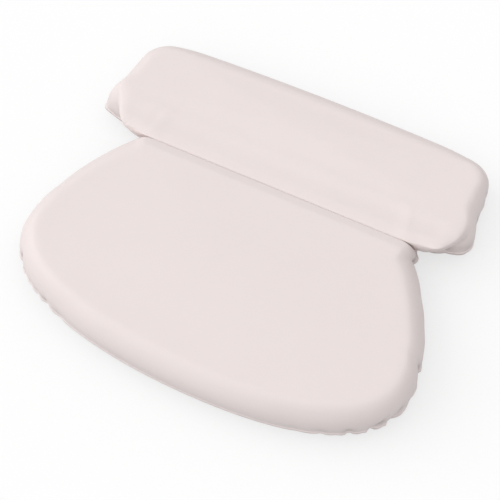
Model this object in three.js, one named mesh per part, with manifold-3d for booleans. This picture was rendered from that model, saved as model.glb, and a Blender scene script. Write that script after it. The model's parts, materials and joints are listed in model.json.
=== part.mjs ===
// Bath pillow: two foam panels in a welded, coated-fabric cover, folding along a web, on suction cups.
// Millimetres, +Z up. The pillow lies on its cups: z = 0 is the plane of their lips, and the origin is
// under the middle of the whole. +Y runs from the round end of the lower panel to the upper panel.
import * as THREE from "three";
import { mergeVertices } from "three/addons/utils/BufferGeometryUtils.js";
import Module from "manifold-3d";

const wasm = await Module();
wasm.setup();

// Lower panel in plan, over its hem
const LOWER_WIDTH = 380;
const LOWER_LENGTH = 205;
const LOWER_WIDEST = 122; // from the hinge edge to the widest line
const LOWER_SIDE_TURN = 38; // from the widest line to the corner of the side's curve
const LOWER_END_FULLNESS = 0.63; // handles of the round end, against its half axes

// Upper panel in plan, over its hem
const UPPER_FRONT_WIDTH = 382; // across the corners beside the hinge
const UPPER_BACK_WIDTH = 354;
const UPPER_LENGTH = 107;
const UPPER_FRONT_SWEEP = 15; // the front edge falls back this far between hinge and corner
const UPPER_BACK_BOW = 4;
const UPPER_FRONT_ROUND = 15; // reach of the front corners' rounding along each edge
const UPPER_BACK_ROUND = 30;

// Hinge between the hems of the two panels
const HINGE_LENGTH = 287;
const HINGE_GAP = 7;
const HINGE_END_ROUND = 9;
const FOLD_GROOVE_WIDTH = 3;
const FOLD_GROOVE_DEPTH = 1;

// Section through a panel
const LOWER_HEIGHT = 39; // from the underside of the hem to the crown
const UPPER_HEIGHT = 37;
const CROWN = 2.5; // rise of the top between its shoulders
const SHOULDER_RUN = 27; // from the foot of the wall to where the top begins
const SHOULDER_POWER = 2.8; // 2 is an ellipse, more is squarer
const SWELL = 1.5; // how far the wall stands out over its foot
const SKIN = 1;
const HEM_WIDTH = 3.5;
const BACK_SHEET = 1.2;

// Gathers where the hem turns a corner
const GATHER_PITCH = 24;
const GATHER_DEPTH = 3;
const GATHER_RISE = 25; // height up the wall at which they have faded
const GATHER_RADIUS = 70; // a hem bent to this radius or tighter gathers fully

// Suction cups
const CUP_DIAMETER = 46;
const CUP_HEIGHT = 12; // from the lip to the shoulder under the eyelet
const CUP_ROOF = 3.5; // thickness of the bell at its middle
const CUP_LIP = 1.5; // flat land round the lip
const CUP_LIP_HEIGHT = 0.8;
const CUP_FLARE_REACH = 6; // corner of the bell's outer curve, in from the lip
const CUP_FLARE_RISE = 7;
const CUP_SHOULDER = 4; // ledge round the neck
const CUP_NECK_DIAMETER = 6.8;
const CUP_HEAD_OVERHANG = 2.4; // how far the head spreads over the eyelet's bore
const CUP_HEAD_HEIGHT = 4.5;

// Eyelets that hold the cups' necks in the back sheets
const EYELET_WALL = 2;
const EYELET_RIM = 4; // how far the flanges spread past the barrel
const EYELET_FLANGE = 1.4;

// Places of the cups: inset from the sides of the panel, set back from its hinge edge, end or back edge
const LOWER_HINGE_CUP_INSET = 85;
const LOWER_HINGE_CUP_SETBACK = 50;
const LOWER_END_CUP_INSET = 105;
const LOWER_END_CUP_SETBACK = 52;
const UPPER_CUP_INSET = 66;
const UPPER_CUP_SETBACK = 52;

// Fits
const CLEARANCE = 0.3; // between pieces that lie on one another
const NECK_CLEARANCE = 0.6; // between a cup's neck and its eyelet

// Counts that set how finely curves are divided
const HALF_HEM_STEPS = 52;
const FINE_STEPS = 400;
const GATHER_DENSITY = 4; // hem points in a gather, against a plain stretch
const SHOULDER_STEPS = 3;
const CROWN_MIDWAY = 0.6; // place of the ring between the crown's edge and its middle
const ROUND_STEPS = 20;
const BELL_STEPS = 3;

// Heights of the layers, from the cups' lips upward
const eyeletBottom = CUP_HEIGHT + CLEARANCE;
const sheetBottom = eyeletBottom + EYELET_FLANGE + CLEARANCE;
const sheetTop = sheetBottom + BACK_SHEET;
const foot = sheetTop + CLEARANCE;
const eyeletTop = foot + EYELET_FLANGE;
const headBottom = eyeletTop + CLEARANCE;
const headTop = headBottom + CUP_HEAD_HEIGHT;
const pocketTop = headTop + CLEARANCE;

// Radii about a cup's axis, from the neck outward
const neckRadius = CUP_NECK_DIAMETER / 2;
const boreRadius = neckRadius + NECK_CLEARANCE;
const headRadius = boreRadius + CUP_HEAD_OVERHANG;
const barrelRadius = boreRadius + EYELET_WALL;
const holeRadius = barrelRadius + CLEARANCE;
const flangeRadius = barrelRadius + EYELET_RIM;
const pocketRadius = Math.max(flangeRadius, headRadius) + CLEARANCE;

// Edges of the panels along Y, with the fold line at y = 0
const lowerHingeEdge = -HINGE_GAP / 2;
const lowerEnd = lowerHingeEdge - LOWER_LENGTH;
const upperHingeEdge = HINGE_GAP / 2;
const upperBack = upperHingeEdge + UPPER_LENGTH;

// The point on the way from one point to another, at a distance from the first.
function along(from, to, distance) {
  return from.clone().add(to.clone().sub(from).setLength(distance));
}

// Draws a line up to a corner and rounds it towards the next point.
function roundCorner(path, corner, next, reach) {
  const before = along(corner, path.currentPoint, reach);
  const after = along(corner, next, reach);
  path.lineTo(before.x, before.y);
  path.quadraticCurveTo(corner.x, corner.y, after.x, after.y);
}

// Right half of the lower panel's hem, from the middle of the round end to the middle of the hinge edge.
function lowerHalfOutline() {
  const halfWidth = LOWER_WIDTH / 2;
  const widest = lowerHingeEdge - LOWER_WIDEST;
  const endLength = LOWER_LENGTH - LOWER_WIDEST;
  const sideTurn = new THREE.Vector2(halfWidth, widest + LOWER_SIDE_TURN);
  const hingeEnd = new THREE.Vector2(HINGE_LENGTH / 2, lowerHingeEdge);
  const hingeMiddle = new THREE.Vector2(0, lowerHingeEdge);
  const sideEnd = along(hingeEnd, sideTurn, HINGE_END_ROUND);
  const hingeStart = along(hingeEnd, hingeMiddle, HINGE_END_ROUND);
  const path = new THREE.Path();
  path.moveTo(0, lowerEnd);
  path.bezierCurveTo(
    LOWER_END_FULLNESS * halfWidth, lowerEnd,
    halfWidth, widest - LOWER_END_FULLNESS * endLength,
    halfWidth, widest,
  );
  path.quadraticCurveTo(sideTurn.x, sideTurn.y, sideEnd.x, sideEnd.y);
  path.quadraticCurveTo(hingeEnd.x, hingeEnd.y, hingeStart.x, hingeStart.y);
  path.lineTo(hingeMiddle.x, hingeMiddle.y);
  return path;
}

// Right half of the upper panel's hem, from the middle of the hinge edge to the middle of the back edge.
function upperHalfOutline() {
  const hingeEnd = new THREE.Vector2(HINGE_LENGTH / 2, upperHingeEdge);
  const front = new THREE.Vector2(UPPER_FRONT_WIDTH / 2, upperHingeEdge + UPPER_FRONT_SWEEP);
  const back = new THREE.Vector2(UPPER_BACK_WIDTH / 2, upperBack - UPPER_BACK_BOW);
  const backMiddle = new THREE.Vector2(0, upperBack);
  const path = new THREE.Path();
  path.moveTo(0, upperHingeEdge);
  roundCorner(path, hingeEnd, front, HINGE_END_ROUND);
  roundCorner(path, front, back, UPPER_FRONT_ROUND);
  roundCorner(path, back, backMiddle, UPPER_BACK_ROUND);
  path.quadraticCurveTo(path.currentPoint.x / 2, upperBack, backMiddle.x, backMiddle.y);
  return path;
}

// How fully the hem gathers at each fine point of a half outline: 0 where it is straight, up to 1.
function gatherWeights(points, step) {
  return points.map((point, i) => {
    const before = points[Math.max(i - 1, 0)];
    const after = points[Math.min(i + 1, points.length - 1)];
    const arriving = point.clone().sub(before);
    const leaving = after.clone().sub(point);
    const bend = Math.abs(Math.atan2(arriving.cross(leaving), arriving.dot(leaving))) / step;
    return Math.min(1, bend * GATHER_RADIUS) ** 2;
  });
}

// Points round a whole hem, closest where it gathers, each with the depth that its gather draws it in.
function hemPoints(halfOutline) {
  const fine = halfOutline.getSpacedPoints(FINE_STEPS);
  const step = halfOutline.getLength() / FINE_STEPS;
  const weights = gatherWeights(fine, step);
  const reached = [0];
  for (let i = 1; i < fine.length; i += 1) {
    reached.push(reached[i - 1] + 1 + (GATHER_DENSITY - 1) * weights[i]);
  }
  const half = [];
  for (let j = 0; j <= HALF_HEM_STEPS; j += 1) {
    const wanted = reached[FINE_STEPS] * (j / HALF_HEM_STEPS);
    const i = reached.findIndex((value) => value >= wanted);
    const wave = (1 - Math.cos((2 * Math.PI * i * step) / GATHER_PITCH)) / 2;
    half.push({ x: fine[i].x, y: fine[i].y, gather: GATHER_DEPTH * weights[i] * wave });
  }
  const mirrored = half.slice(1, -1).reverse().map((point) => ({ ...point, x: -point.x }));
  return [...half, ...mirrored];
}

// A panel: its hem, its middle and half sizes in plan, and its height over the foot of its wall.
function makePanel(halfOutline, height) {
  const hem = hemPoints(halfOutline);
  const box = new THREE.Box2().setFromPoints(hem.map((point) => new THREE.Vector2(point.x, point.y)));
  const middle = box.getCenter(new THREE.Vector2());
  const half = box.getSize(new THREE.Vector2()).multiplyScalar(0.5);
  return { hem, middle, half, height };
}

// A ring inside a panel's hem, drawn in by the inset and, near the foot, by the gathers.
function hemRing(panel, inset, z) {
  const fade = Math.max(0, 1 - (z - foot) / GATHER_RISE);
  return panel.hem.map((point) => {
    const drawn = inset + fade * point.gather;
    const x = panel.middle.x + (point.x - panel.middle.x) * (1 - drawn / panel.half.x);
    const y = panel.middle.y + (point.y - panel.middle.y) * (1 - drawn / panel.half.y);
    return new THREE.Vector3(x, y, z);
  });
}

// Rings of a panel's padded form under a thickness of cover, from the crown down to just over its foot,
// with the middle of the crown as the pole that they start from.
function paddedForm(panel, cover) {
  const shoulderHeight = panel.height - CROWN - cover;
  const run = SHOULDER_RUN - cover;
  const rings = [];
  for (let step = SHOULDER_STEPS; step >= 1; step -= 1) {
    const angle = (step / SHOULDER_STEPS) * (Math.PI / 2);
    const outward = Math.cos(angle) ** (2 / SHOULDER_POWER);
    const upward = Math.sin(angle) ** (2 / SHOULDER_POWER);
    const swell = SWELL * (1 - (1 - upward) ** 2);
    const inset = HEM_WIDTH + SHOULDER_RUN - run * outward - swell;
    rings.push(hemRing(panel, inset, foot + shoulderHeight * upward));
  }
  const pole = new THREE.Vector3(panel.middle.x, panel.middle.y, foot + panel.height - cover);
  const midway = rings[0].map((point) => {
    const ring = pole.clone().lerp(point, CROWN_MIDWAY);
    ring.z = pole.z - CROWN * CROWN_MIDWAY ** 2;
    return ring;
  });
  return { pole, rings: [midway, ...rings] };
}

// A closed body through rings of equal count, closed by a pole at each end. Each face is split from its
// higher ring down to the next point of its lower one, so forms nested in one another keep their gap.
function loft(firstPole, rings, lastPole) {
  const count = rings[0].length;
  const points = [firstPole, ...rings.flat(), lastPole];
  const last = points.length - 1;
  const index = [];
  for (let i = 0; i < count; i += 1) {
    const next = (i + 1) % count;
    index.push(0, 1 + i, 1 + next);
    for (let ring = 0; ring < rings.length - 1; ring += 1) {
      const upper = 1 + ring * count;
      const lower = upper + count;
      if (rings[ring][i].z > rings[ring + 1][i].z) {
        index.push(upper + i, lower + i, lower + next);
        index.push(upper + i, lower + next, upper + next);
      } else {
        index.push(upper + i, lower + i, upper + next);
        index.push(upper + next, lower + i, lower + next);
      }
    }
    const end = 1 + (rings.length - 1) * count;
    index.push(end + i, last, end + next);
  }
  const geometry = new THREE.BufferGeometry().setFromPoints(points);
  geometry.setIndex(index);
  return geometry;
}

// The front skin of a panel: the padded form as a shell, open below, with the hem standing out round it.
function frontSkin(panel) {
  const outside = paddedForm(panel, 0);
  const inside = paddedForm(panel, SKIN);
  const rings = [
    ...outside.rings,
    hemRing(panel, HEM_WIDTH, foot + SKIN),
    hemRing(panel, 0, foot + SKIN),
    hemRing(panel, 0, foot),
    hemRing(panel, HEM_WIDTH + SKIN, foot),
    ...inside.rings.reverse(),
  ];
  return loft(outside.pole, rings, inside.pole);
}

function toSolid(geometry) {
  const bare = geometry.clone();
  bare.deleteAttribute("normal");
  bare.deleteAttribute("uv");
  const merged = mergeVertices(bare);
  const vertProperties = new Float32Array(merged.attributes.position.array);
  const triVerts = new Uint32Array(merged.index.array);
  return new wasm.Manifold(new wasm.Mesh({ numProp: 3, vertProperties, triVerts }));
}

function toGeometry(solid) {
  const mesh = solid.getMesh();
  const geometry = new THREE.BufferGeometry();
  geometry.setAttribute("position", new THREE.BufferAttribute(mesh.vertProperties, 3));
  geometry.setIndex(new THREE.BufferAttribute(mesh.triVerts, 1));
  return geometry;
}

// The foam of a panel, filling its skin, with a pocket over each cup for the eyelet and the cup's head.
function foamCore(panel, stations) {
  const cover = SKIN + CLEARANCE;
  const form = paddedForm(panel, cover);
  const rings = [...form.rings, hemRing(panel, HEM_WIDTH + cover, foot)];
  const under = new THREE.Vector3(panel.middle.x, panel.middle.y, foot);
  let solid = toSolid(loft(form.pole, rings, under));
  const depth = 2 * (pocketTop - foot);
  for (const station of stations) {
    const pocket = new THREE.CylinderGeometry(pocketRadius, pocketRadius, depth, ROUND_STEPS);
    pocket.rotateX(Math.PI / 2);
    pocket.translate(station.x, station.y, foot);
    solid = solid.subtract(toSolid(pocket));
  }
  return toGeometry(solid);
}

// The back sheet of a panel, cut to the hem, with a hole for each eyelet.
function backSheet(panel, stations) {
  const edge = hemRing(panel, 0, foot).map((point) => new THREE.Vector2(point.x, point.y));
  const sheet = new THREE.Shape(edge);
  for (const station of stations) {
    sheet.holes.push(new THREE.Path().absarc(station.x, station.y, holeRadius, 0, 2 * Math.PI, true));
  }
  const geometry = new THREE.ExtrudeGeometry(sheet, {
    depth: BACK_SHEET,
    bevelEnabled: false,
    curveSegments: ROUND_STEPS / 2,
  });
  return geometry.translate(0, 0, sheetBottom);
}

// The strip between the hems, as thick as hem and back sheet, with the fold line pressed along its top.
function hingeWeb() {
  const halfWidth = HINGE_GAP / 2 - CLEARANCE;
  const top = foot + SKIN;
  const section = new THREE.Shape();
  section.moveTo(-halfWidth, sheetBottom);
  section.lineTo(halfWidth, sheetBottom);
  section.lineTo(halfWidth, top);
  section.lineTo(FOLD_GROOVE_WIDTH / 2, top);
  section.lineTo(0, top - FOLD_GROOVE_DEPTH);
  section.lineTo(-FOLD_GROOVE_WIDTH / 2, top);
  section.lineTo(-halfWidth, top);
  const length = HINGE_LENGTH - 2 * HINGE_END_ROUND;
  const geometry = new THREE.ExtrudeGeometry(section, { depth: length, bevelEnabled: false });
  geometry.rotateX(Math.PI / 2);
  geometry.rotateZ(Math.PI / 2);
  return geometry.translate(-length / 2, 0, 0);
}

// A suction cup: a thin-lipped bell, a neck through the eyelet and a mushroom head above it.
function suctionCup() {
  const lipRadius = CUP_DIAMETER / 2;
  const landRadius = lipRadius - CUP_LIP;
  const roof = CUP_HEIGHT - CUP_ROOF;
  const profile = new THREE.Path();
  profile.moveTo(0, roof);
  profile.quadraticCurveTo(lipRadius - 2 * CUP_FLARE_REACH, roof, landRadius, 0);
  profile.lineTo(lipRadius, 0);
  profile.lineTo(lipRadius, CUP_LIP_HEIGHT);
  profile.quadraticCurveTo(
    lipRadius - CUP_FLARE_REACH, CUP_FLARE_RISE,
    neckRadius + CUP_SHOULDER, CUP_HEIGHT,
  );
  profile.lineTo(neckRadius, CUP_HEIGHT);
  profile.lineTo(neckRadius, headBottom);
  profile.lineTo(headRadius, headBottom);
  profile.quadraticCurveTo(headRadius, headTop, 0, headTop);
  return revolve(profile.getPoints(BELL_STEPS));
}

// An eyelet: a barrel through the back sheet with a flange on each side of it.
function eyelet() {
  const profile = new THREE.Path();
  profile.moveTo(boreRadius, eyeletBottom);
  profile.lineTo(flangeRadius, eyeletBottom);
  profile.lineTo(flangeRadius, eyeletBottom + EYELET_FLANGE);
  profile.lineTo(barrelRadius, eyeletBottom + EYELET_FLANGE);
  profile.lineTo(barrelRadius, foot);
  profile.lineTo(flangeRadius, foot);
  profile.lineTo(flangeRadius, eyeletTop);
  profile.lineTo(boreRadius, eyeletTop);
  profile.lineTo(boreRadius, eyeletBottom);
  return revolve(profile.getPoints());
}

// Turns a profile of radius and height about the Z axis.
function revolve(profile) {
  return new THREE.LatheGeometry(profile, ROUND_STEPS).rotateX(Math.PI / 2);
}

// A row of cup stations spread evenly as far as a reach to either side, named from left to right.
function cupRow(names, reach, y) {
  const spacing = (2 * reach) / (names.length - 1);
  return names.map((name, i) => ({ name, x: i * spacing - reach, y }));
}

const lowerStations = [
  ...cupRow(
    ["lower_hinge_left", "lower_hinge_right"],
    LOWER_WIDTH / 2 - LOWER_HINGE_CUP_INSET,
    lowerHingeEdge - LOWER_HINGE_CUP_SETBACK,
  ),
  ...cupRow(
    ["lower_end_left", "lower_end_right"],
    LOWER_WIDTH / 2 - LOWER_END_CUP_INSET,
    lowerEnd + LOWER_END_CUP_SETBACK,
  ),
];
const upperStations = cupRow(
  ["upper_left", "upper_middle", "upper_right"],
  UPPER_FRONT_WIDTH / 2 - UPPER_CUP_INSET,
  upperBack - UPPER_CUP_SETBACK,
);

const lowerPanel = makePanel(lowerHalfOutline(), LOWER_HEIGHT);
const upperPanel = makePanel(upperHalfOutline(), UPPER_HEIGHT);

const pillow = new THREE.Group();
pillow.position.y = -(lowerEnd + upperBack) / 2;

function addPiece(name, geometry, color, roughness, station = { x: 0, y: 0 }) {
  const material = new THREE.MeshStandardMaterial({ color, roughness, metalness: 0 });
  const mesh = new THREE.Mesh(geometry, material);
  mesh.name = name;
  mesh.position.set(station.x, station.y, 0);
  pillow.add(mesh);
}

const COVER_COLOR = 0xece1df;
const FOAM_COLOR = 0xf2ecd8;
const CUP_COLOR = 0xdfe6e6;
const EYELET_COLOR = 0xf0eeea;

addPiece("lower_front_skin", frontSkin(lowerPanel), COVER_COLOR, 0.55);
addPiece("upper_front_skin", frontSkin(upperPanel), COVER_COLOR, 0.55);
addPiece("hinge_web", hingeWeb(), COVER_COLOR, 0.55);
addPiece("lower_foam_core", foamCore(lowerPanel, lowerStations), FOAM_COLOR, 0.95);
addPiece("upper_foam_core", foamCore(upperPanel, upperStations), FOAM_COLOR, 0.95);
addPiece("lower_back_sheet", backSheet(lowerPanel, lowerStations), COVER_COLOR, 0.6);
addPiece("upper_back_sheet", backSheet(upperPanel, upperStations), COVER_COLOR, 0.6);
for (const station of [...lowerStations, ...upperStations]) {
  addPiece(`suction_cup_${station.name}`, suctionCup(), CUP_COLOR, 0.15, station);
  addPiece(`eyelet_${station.name}`, eyelet(), EYELET_COLOR, 0.4, station);
}

export default pillow;
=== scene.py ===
"""A two-panel bath pillow: welded cover, backing, foam, eyelets and suction cups, dressed over its frame."""

import json
import logging
import math
from collections.abc import Sequence
from dataclasses import dataclass
from enum import Enum
from functools import cached_property

import bmesh
import bpy
import numpy as np
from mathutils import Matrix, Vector
from mathutils.geometry import delaunay_2d_cdt


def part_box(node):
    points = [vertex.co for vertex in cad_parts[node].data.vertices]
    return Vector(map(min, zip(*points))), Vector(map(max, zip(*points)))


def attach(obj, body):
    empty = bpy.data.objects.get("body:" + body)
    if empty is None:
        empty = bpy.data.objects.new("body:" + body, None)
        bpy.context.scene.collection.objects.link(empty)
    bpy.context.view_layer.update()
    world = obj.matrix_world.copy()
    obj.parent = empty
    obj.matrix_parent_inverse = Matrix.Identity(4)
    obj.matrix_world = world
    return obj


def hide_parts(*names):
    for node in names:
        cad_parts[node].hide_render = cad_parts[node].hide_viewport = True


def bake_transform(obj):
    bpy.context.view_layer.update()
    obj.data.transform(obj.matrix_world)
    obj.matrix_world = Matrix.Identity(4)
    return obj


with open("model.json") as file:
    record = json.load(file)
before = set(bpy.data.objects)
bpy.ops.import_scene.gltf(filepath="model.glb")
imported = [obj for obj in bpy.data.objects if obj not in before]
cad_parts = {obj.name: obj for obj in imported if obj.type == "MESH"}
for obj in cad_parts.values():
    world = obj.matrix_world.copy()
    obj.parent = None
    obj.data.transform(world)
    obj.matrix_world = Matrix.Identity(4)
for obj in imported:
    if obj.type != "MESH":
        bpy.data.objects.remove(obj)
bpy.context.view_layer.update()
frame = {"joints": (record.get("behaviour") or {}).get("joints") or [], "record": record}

LOG = logging.getLogger("bath_pillow")
MILLIMETRES = 1000.0
CURVE_STEPS = 240
CORNER_STEPS = 5
CORNER_SHARE = 0.45
SAME_PLACE = 1e-7
# name of the mesh value that holds the shade painted into the cover's gathers
PAINTED_FOLD_SHADE = "fold_depth"
PANEL_SIDE = "panel_side"
EYELET_PREFIX = "eyelet_"
WHITE = (1.0, 1.0, 1.0, 1.0)

FOLD = next(joint for joint in frame["joints"] if joint["name"] == "panel_fold")
FOLD_LINE = Vector(FOLD["pos_m"])


class Body(Enum):
    """The two padded panels of the frame."""

    LOWER = "lower_panel"
    UPPER = "upper_panel"


class Slot(Enum):
    """The record's material slots."""

    COVER = "cover"
    FOAM = "foam"
    CUP = "cup"
    EYELET = "eyelet"


class Side(Enum):
    """A side of the pillow, as the sign of its x."""

    RIGHT = 1
    LEFT = -1


def bezier(*handles: Sequence[float], steps: int = CURVE_STEPS) -> np.ndarray:
    """Points along a line, quadratic or cubic curve.

    Args:
        handles: two, three or four plan points that shape the curve.
        steps: how many points to return.

    Returns:
        The curve's points, one a row.
    """
    t = np.linspace(0.0, 1.0, steps)[:, None]
    level = [np.asarray(handle, float) * np.ones_like(t) for handle in handles]
    while len(level) > 1:
        level = [(1.0 - t) * first + t * second for first, second in zip(level, level[1:])]
    return level[0]


def toward(start: Sequence[float], end: Sequence[float], distance: float) -> np.ndarray:
    """The point at a distance from one point on the way to another.

    Args:
        start: the point to measure from.
        end: the point to head for.
        distance: how far to go.

    Returns:
        The point reached.
    """
    first, second = np.asarray(start, float), np.asarray(end, float)
    return first + (second - first) * distance / np.linalg.norm(second - first)


def lengths_along(points: np.ndarray) -> np.ndarray:
    """Distance from the first point to each point of a line, along the line."""
    return np.concatenate([[0.0], np.cumsum(np.linalg.norm(np.diff(points, axis=0), axis=1))])


def respaced(points: np.ndarray, count: int) -> np.ndarray:
    """A line's points, spaced evenly.

    Args:
        points: the line, as closely divided as its shape needs.
        count: how many points to return.

    Returns:
        The respaced points, ends included.
    """
    reach = lengths_along(points)
    wanted = np.linspace(0.0, reach[-1], count)
    return np.column_stack([np.interp(wanted, reach, column) for column in points.T])


def falloff(distance: np.ndarray | float, reach: float) -> np.ndarray | float:
    """Falls smoothly from 1 where the distance is nothing, and has mostly gone past the reach."""
    return np.exp(-((distance / reach) ** 2))


def smoothstep(share: np.ndarray) -> np.ndarray:
    """Eases a share from 0 to 1, level at both ends."""
    return share**2 * (3.0 - 2.0 * share)


def smootherstep(share: np.ndarray) -> np.ndarray:
    """Eases a share from 0 to 1, level and uncurved at both ends."""
    return share**3 * (10.0 - 15.0 * share + 6.0 * share**2)


def across_band(past: np.ndarray, half: float) -> np.ndarray:
    """Share of the way over a band that lies as far before an edge as past it, from 0 to 1."""
    return np.clip(0.5 + past / (2.0 * half), 0.0, 1.0)


def points_of(mesh: bpy.types.Mesh) -> np.ndarray:
    """A mesh's points, one a row."""
    return np.array([vertex.co for vertex in mesh.vertices])


def move_points(piece: bpy.types.Object, points: np.ndarray) -> None:
    """Moves a piece's points to new places, one a row."""
    piece.data.vertices.foreach_set("co", points.ravel())
    piece.data.update()


def placed(name: str, data: bpy.types.ID) -> bpy.types.Object:
    """Puts a new object in the scene, at the origin.

    Args:
        name: name of the object.
        data: its mesh, lamp or camera.

    Returns:
        The object.
    """
    thing = bpy.data.objects.new(name, data)
    bpy.context.scene.collection.objects.link(thing)
    return thing


@dataclass(frozen=True)
class Pleat:
    """A line down the wall where the cover is gathered in to its hem.

    The place is measured along the hem from the middle of the panel's free end. The lean is how far the line
    moves along the hem for each metre that it climbs. The hem's share is how much of the depth the hem has,
    and the rise is the height at which the line ends.
    """

    place: float
    depth: float
    lean: float = 0.0
    hem_share: float = 1.0
    rise: float = 0.024


@dataclass(frozen=True)
class Hinge:
    """The valley between the panels, where the cover is welded to the backing."""

    length: float = 0.289
    shift: float = 0.003
    gap: float = 0.007
    end_round: float = 0.005
    weld_half: float = 0.0012
    foot_half: float = 0.0040
    groove: float = 0.0008
    touch_half: float = 0.00003
    crease_height: float = 0.0478
    crease_shift: float = -0.0106
    columns: int = 43

    def end(self, side: Side) -> float:
        """Distance from the middle to one end of the valley."""
        return self.length / 2.0 + side.value * self.shift

    @property
    def lean(self) -> float:
        """How far the touching walls lean to the upper panel, for each metre that they climb."""
        return self.crease_shift / (self.crease_height - FOLD_LINE.z)


HINGE = Hinge()


@dataclass(frozen=True)
class Slump:
    """A soft crease along the upper panel's slope to the valley, deepest at its right end."""

    distance: float = 0.0215
    depth: float = 0.0027
    half: float = 0.005
    least: float = 0.5
    reach: float = 0.12
    fade: float = 0.018
    floor: float = 0.026
    rise: float = 0.012

    def press(self, piece: bpy.types.Object) -> None:
        """Presses the crease into a piece's mesh.

        Args:
            piece: the piece, with no modifiers.
        """
        points = points_of(piece.data)
        from_valley = points[:, 1] - FOLD_LINE.y - HINGE.crease_shift
        from_right = HINGE.end(Side.RIGHT) - points[:, 0]
        from_left = HINGE.end(Side.LEFT) + points[:, 0]
        along = self.least + (1.0 - self.least) * falloff(from_right, self.reach)
        for from_end in (from_right, from_left):
            along *= falloff(np.minimum(from_end, 0.0), self.fade)
        along *= np.clip((points[:, 2] - self.floor) / self.rise, 0.0, 1.0)
        points[:, 2] -= self.depth * along * falloff(from_valley - self.distance, self.half)
        move_points(piece, points)


SLUMP = Slump()


@dataclass(frozen=True)
class Hem:
    """Points round a panel's hem: plan, place and side on it, way past the valley's end, and way out."""

    points: np.ndarray
    place: np.ndarray
    side: np.ndarray
    past_end: np.ndarray
    outward: np.ndarray


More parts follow.
